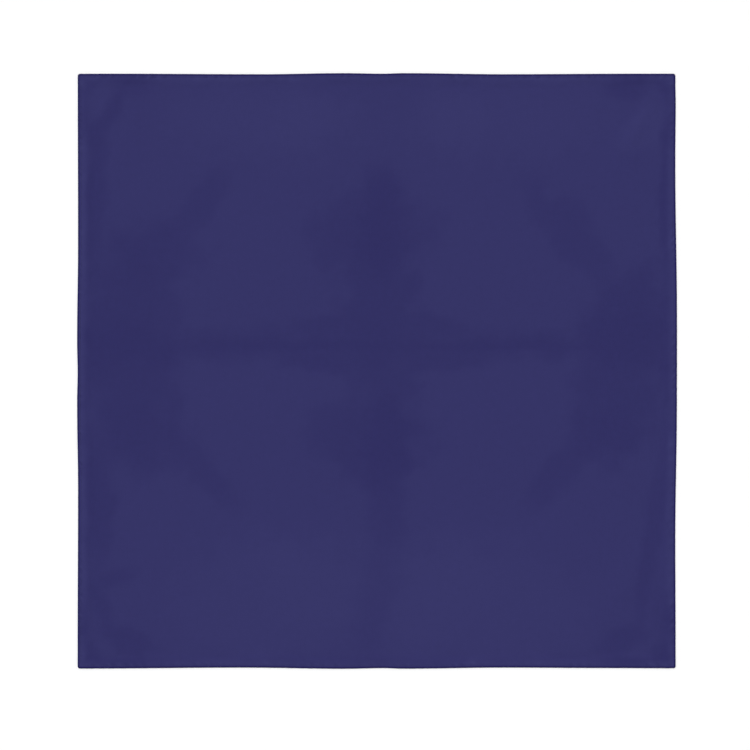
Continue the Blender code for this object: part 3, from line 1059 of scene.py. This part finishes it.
def stitch_tree():
    """Geometry Nodes: a stitch of thread, laid on each point of a row and turned along it."""
    tree = bpy.data.node_groups.new("lockstitches", "GeometryNodeTree")
    tree.interface.new_socket("Row", in_out="INPUT", socket_type="NodeSocketGeometry")
    for name in ("Stitch length", "Crown", "Sink", "Thread radius", "Turned over"):
        tree.interface.new_socket(name, in_out="INPUT", socket_type="NodeSocketFloat")
    tree.interface.new_socket("Seed", in_out="INPUT", socket_type="NodeSocketInt")
    tree.interface.new_socket("Thread", in_out="INPUT", socket_type="NodeSocketMaterial")
    tree.interface.new_socket("Stitches", in_out="OUTPUT", socket_type="NodeSocketGeometry")
    nodes = Nodes(tree)
    given = nodes.node("NodeGroupInput")
    half = given["Stitch length"] * 0.5
    foot = given["Sink"] * -1
    start = nodes.node("ShaderNodeCombineXYZ", None, {"X": half * -1, "Z": foot})
    crown = nodes.node("ShaderNodeCombineXYZ", None, {"Z": given["Crown"]})
    end = nodes.node("ShaderNodeCombineXYZ", None, {"X": half, "Z": foot})
    path = nodes.node("GeometryNodeCurveQuadraticBezier", None, {
        "Resolution": STITCH_STEPS,
        "Start": start["Vector"],
        "Middle": crown["Vector"],
        "End": end["Vector"],
    })
    round_thread = nodes.node("GeometryNodeCurvePrimitiveCircle", None, {
        "Resolution": THREAD_SIDES,
        "Radius": given["Thread radius"],
    })
    stitch = nodes.node("GeometryNodeCurveToMesh", None, {
        "Curve": path["Curve"],
        "Profile Curve": round_thread["Curve"],
        "Fill Caps": True,
    })
    row = nodes.node("GeometryNodeMeshToCurve", None, {"Mesh": given["Row"]})
    points = nodes.node("GeometryNodeCurveToPoints", {"mode": "EVALUATED"}, {"Curve": row["Curve"]})
    along = nodes.node("FunctionNodeAlignRotationToVector", {"axis": "X"}, {"Vector": points["Tangent"]})
    # Random Value's sockets share their names, so they go by number, a vector's before a number's.
    skew = nodes.node("FunctionNodeRandomValue", {"data_type": "FLOAT"}, {
        2: radians(-STITCH_TURN),
        3: radians(STITCH_TURN),
        "Seed": given["Seed"],
    })
    size = nodes.node("FunctionNodeRandomValue", {"data_type": "FLOAT_VECTOR"}, {
        0: SMALLEST_STITCH,
        1: LARGEST_STITCH,
        "Seed": given["Seed"],
    })
    turn = nodes.node("ShaderNodeCombineXYZ", None, {"X": given["Turned over"], "Z": skew[1]})
    rotation = nodes.node("FunctionNodeRotateRotation", {"rotation_space": "LOCAL"}, {
        "Rotation": along["Rotation"],
        "Rotate By": turn["Vector"],
    })
    laid = nodes.node("GeometryNodeInstanceOnPoints", None, {
        "Points": points["Points"],
        "Instance": stitch["Mesh"],
        "Rotation": rotation["Rotation"],
        "Scale": size[0],
    })
    real = nodes.node("GeometryNodeRealizeInstances", None, {"Geometry": laid["Instances"]})
    smooth = nodes.node("GeometryNodeSetShadeSmooth", None, {"Geometry": real["Geometry"]})
    finished = nodes.node("GeometryNodeSetMaterial", None, {
        "Geometry": smooth["Geometry"],
        "Material": given["Thread"],
    })
    nodes.node("NodeGroupOutput", None, {"Stitches": finished["Geometry"]})
    return tree


def face_height(cloth, x, y, upper):
    """The height of a cloth's upper or lower face at each place."""
    way = Vector((0, 0, -1 if upper else 1))
    starts = [Vector((a, b, 0)) * MM - way * CAST_FROM * MM for a, b in zip(x, y)]
    return np.array([cloth.ray_cast(start, way)[1].z for start in starts]) / MM


def stitch_row(hem, cloth, tree, material, upper):
    """The thread on one face of a hem, as a mesh. Each stitch lies on the outermost cloth beside it."""
    out = 1 if upper else -1
    end = hem.length / 2 - (SIDE_STITCH_END if hem.upright else END_STITCH_END)
    count = 2 * int(end / STITCH_PITCH)
    along = (np.arange(count) - (count - 1) / 2) * STITCH_PITCH
    depth = np.full(count, STITCH_DEPTH)
    parts = [waved(*hem.place(along + part * STITCH_LENGTH, depth)) for part in STITCH_PARTS]
    heights = [out * face_height(cloth, x, y, upper) for x, y in parts]
    middle = waved(*hem.place(along, depth))
    points = np.stack([*middle, out * (np.max(heights, 0) + THREAD_LIFT)], 1) * MM
    row = bpy.data.meshes.new("row")
    row.from_pydata([tuple(p) for p in points], [(i, i + 1) for i in range(count - 1)], [])
    made = as_object("row", row)
    modifier = made.modifiers.new("stitches", "NODES")
    modifier.node_group = tree
    inputs = {
        "Stitch length": STITCH_LENGTH * MM,
        "Crown": STITCH_CROWN * MM,
        "Sink": STITCH_SINK * MM,
        "Thread radius": THREAD_RADIUS * MM,
        "Turned over": 0.0 if upper else np.pi,
        "Seed": STITCH_SEEDS[hem.name] + (0 if upper else LOWER_SEED_STEP),
        "Thread": material,
    }
    for item in tree.interface.items_tree:
        if item.name in inputs:
            modifier[item.identifier] = inputs[item.name]
    apply_modifiers(made)
    found = made.data
    bpy.data.objects.remove(made)
    return found


def stitches(hem, panel_cloth, turned_hem, tree, material):
    """All the thread of one hem: one row on the panel, and one on the turned cloth below it."""
    both = bmesh.new()
    for cloth in (panel_cloth, turned_hem):
        row = stitch_row(hem, cloth, tree, material, cloth is panel_cloth)
        both.from_mesh(row)
        bpy.data.meshes.remove(row)
    made = built(f"{hem.name}_hem_stitches", both)
    made.data.materials.append(material)
    made.data.shade_smooth()
    return made


def floor():
    """The surface that the cloth lies on."""
    mesh = bmesh.new()
    bmesh.ops.create_grid(mesh, x_segments=1, y_segments=1, size=FLOOR_REACH)
    made = built("floor", mesh)
    made.data.materials.append(plain_floor())


def lights():
    """A large soft key light from above and a little behind, in a pale room."""
    key = bpy.data.lights.new("key", "SUN")
    key.energy = KEY_STRENGTH
    key.angle = radians(KEY_ANGLE)
    as_object("key", key).rotation_euler = Vector(KEY_FROM).to_track_quat("Z", "Y").to_euler()
    world = bpy.data.worlds.new("room")
    world.use_nodes = True
    world.node_tree.nodes.clear()
    nodes = Nodes(world.node_tree)
    way = nodes.node("ShaderNodeTexCoord")["Generated"]
    up = nodes.node("ShaderNodeSeparateXYZ", None, {"Vector": way})["Z"]
    overhead = nodes.node("ShaderNodeMapRange", {"interpolation_type": "SMOOTHSTEP"}, {
        "Value": up,
        "From Min": WALLS_TOP,
        "From Max": CEILING_START,
        "To Min": WALLS_STRENGTH,
        "To Max": CEILING_STRENGTH,
    })["Result"]
    lit = nodes.node("ShaderNodeBackground", None, {"Color": (1, 1, 1, 1), "Strength": overhead})
    nodes.node("ShaderNodeOutputWorld", None, {"Surface": lit["Background"]})
    bpy.context.scene.world = world
    bpy.context.scene.view_settings.view_transform = "Standard"


def camera():
    """A camera that looks straight down on the middle of the view."""
    lens = bpy.data.cameras.new("camera")
    lens.lens = lens.sensor_width * (CAMERA_HEIGHT - FACE_HEIGHT) / VIEW_WIDTH
    made = as_object("camera", lens)
    made.location = (*VIEW_CENTRE, CAMERA_HEIGHT)
    bpy.context.scene.camera = made


def dress():
    """Makes every piece, hangs it from the root body, and hides the parts that it stands for."""
    navy_cotton, navy_thread = cotton(), thread()
    cloth = panel()
    turned_hems = {name: turning(hem) for name, hem in HEMS.items()}
    for piece in (cloth, *turned_hems.values()):
        piece.data.materials.append(navy_cotton)
        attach(piece, "root")
    tree = stitch_tree()
    rows = [stitches(hem, cloth, turned_hems[name], tree, navy_thread) for name, hem in HEMS.items()]
    for row in rows:
        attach(row, "root")
    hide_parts("panel")
    for name, piece in turned_hems.items():
        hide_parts(f"hem_{name}")


dress()
floor()
lights()
camera()
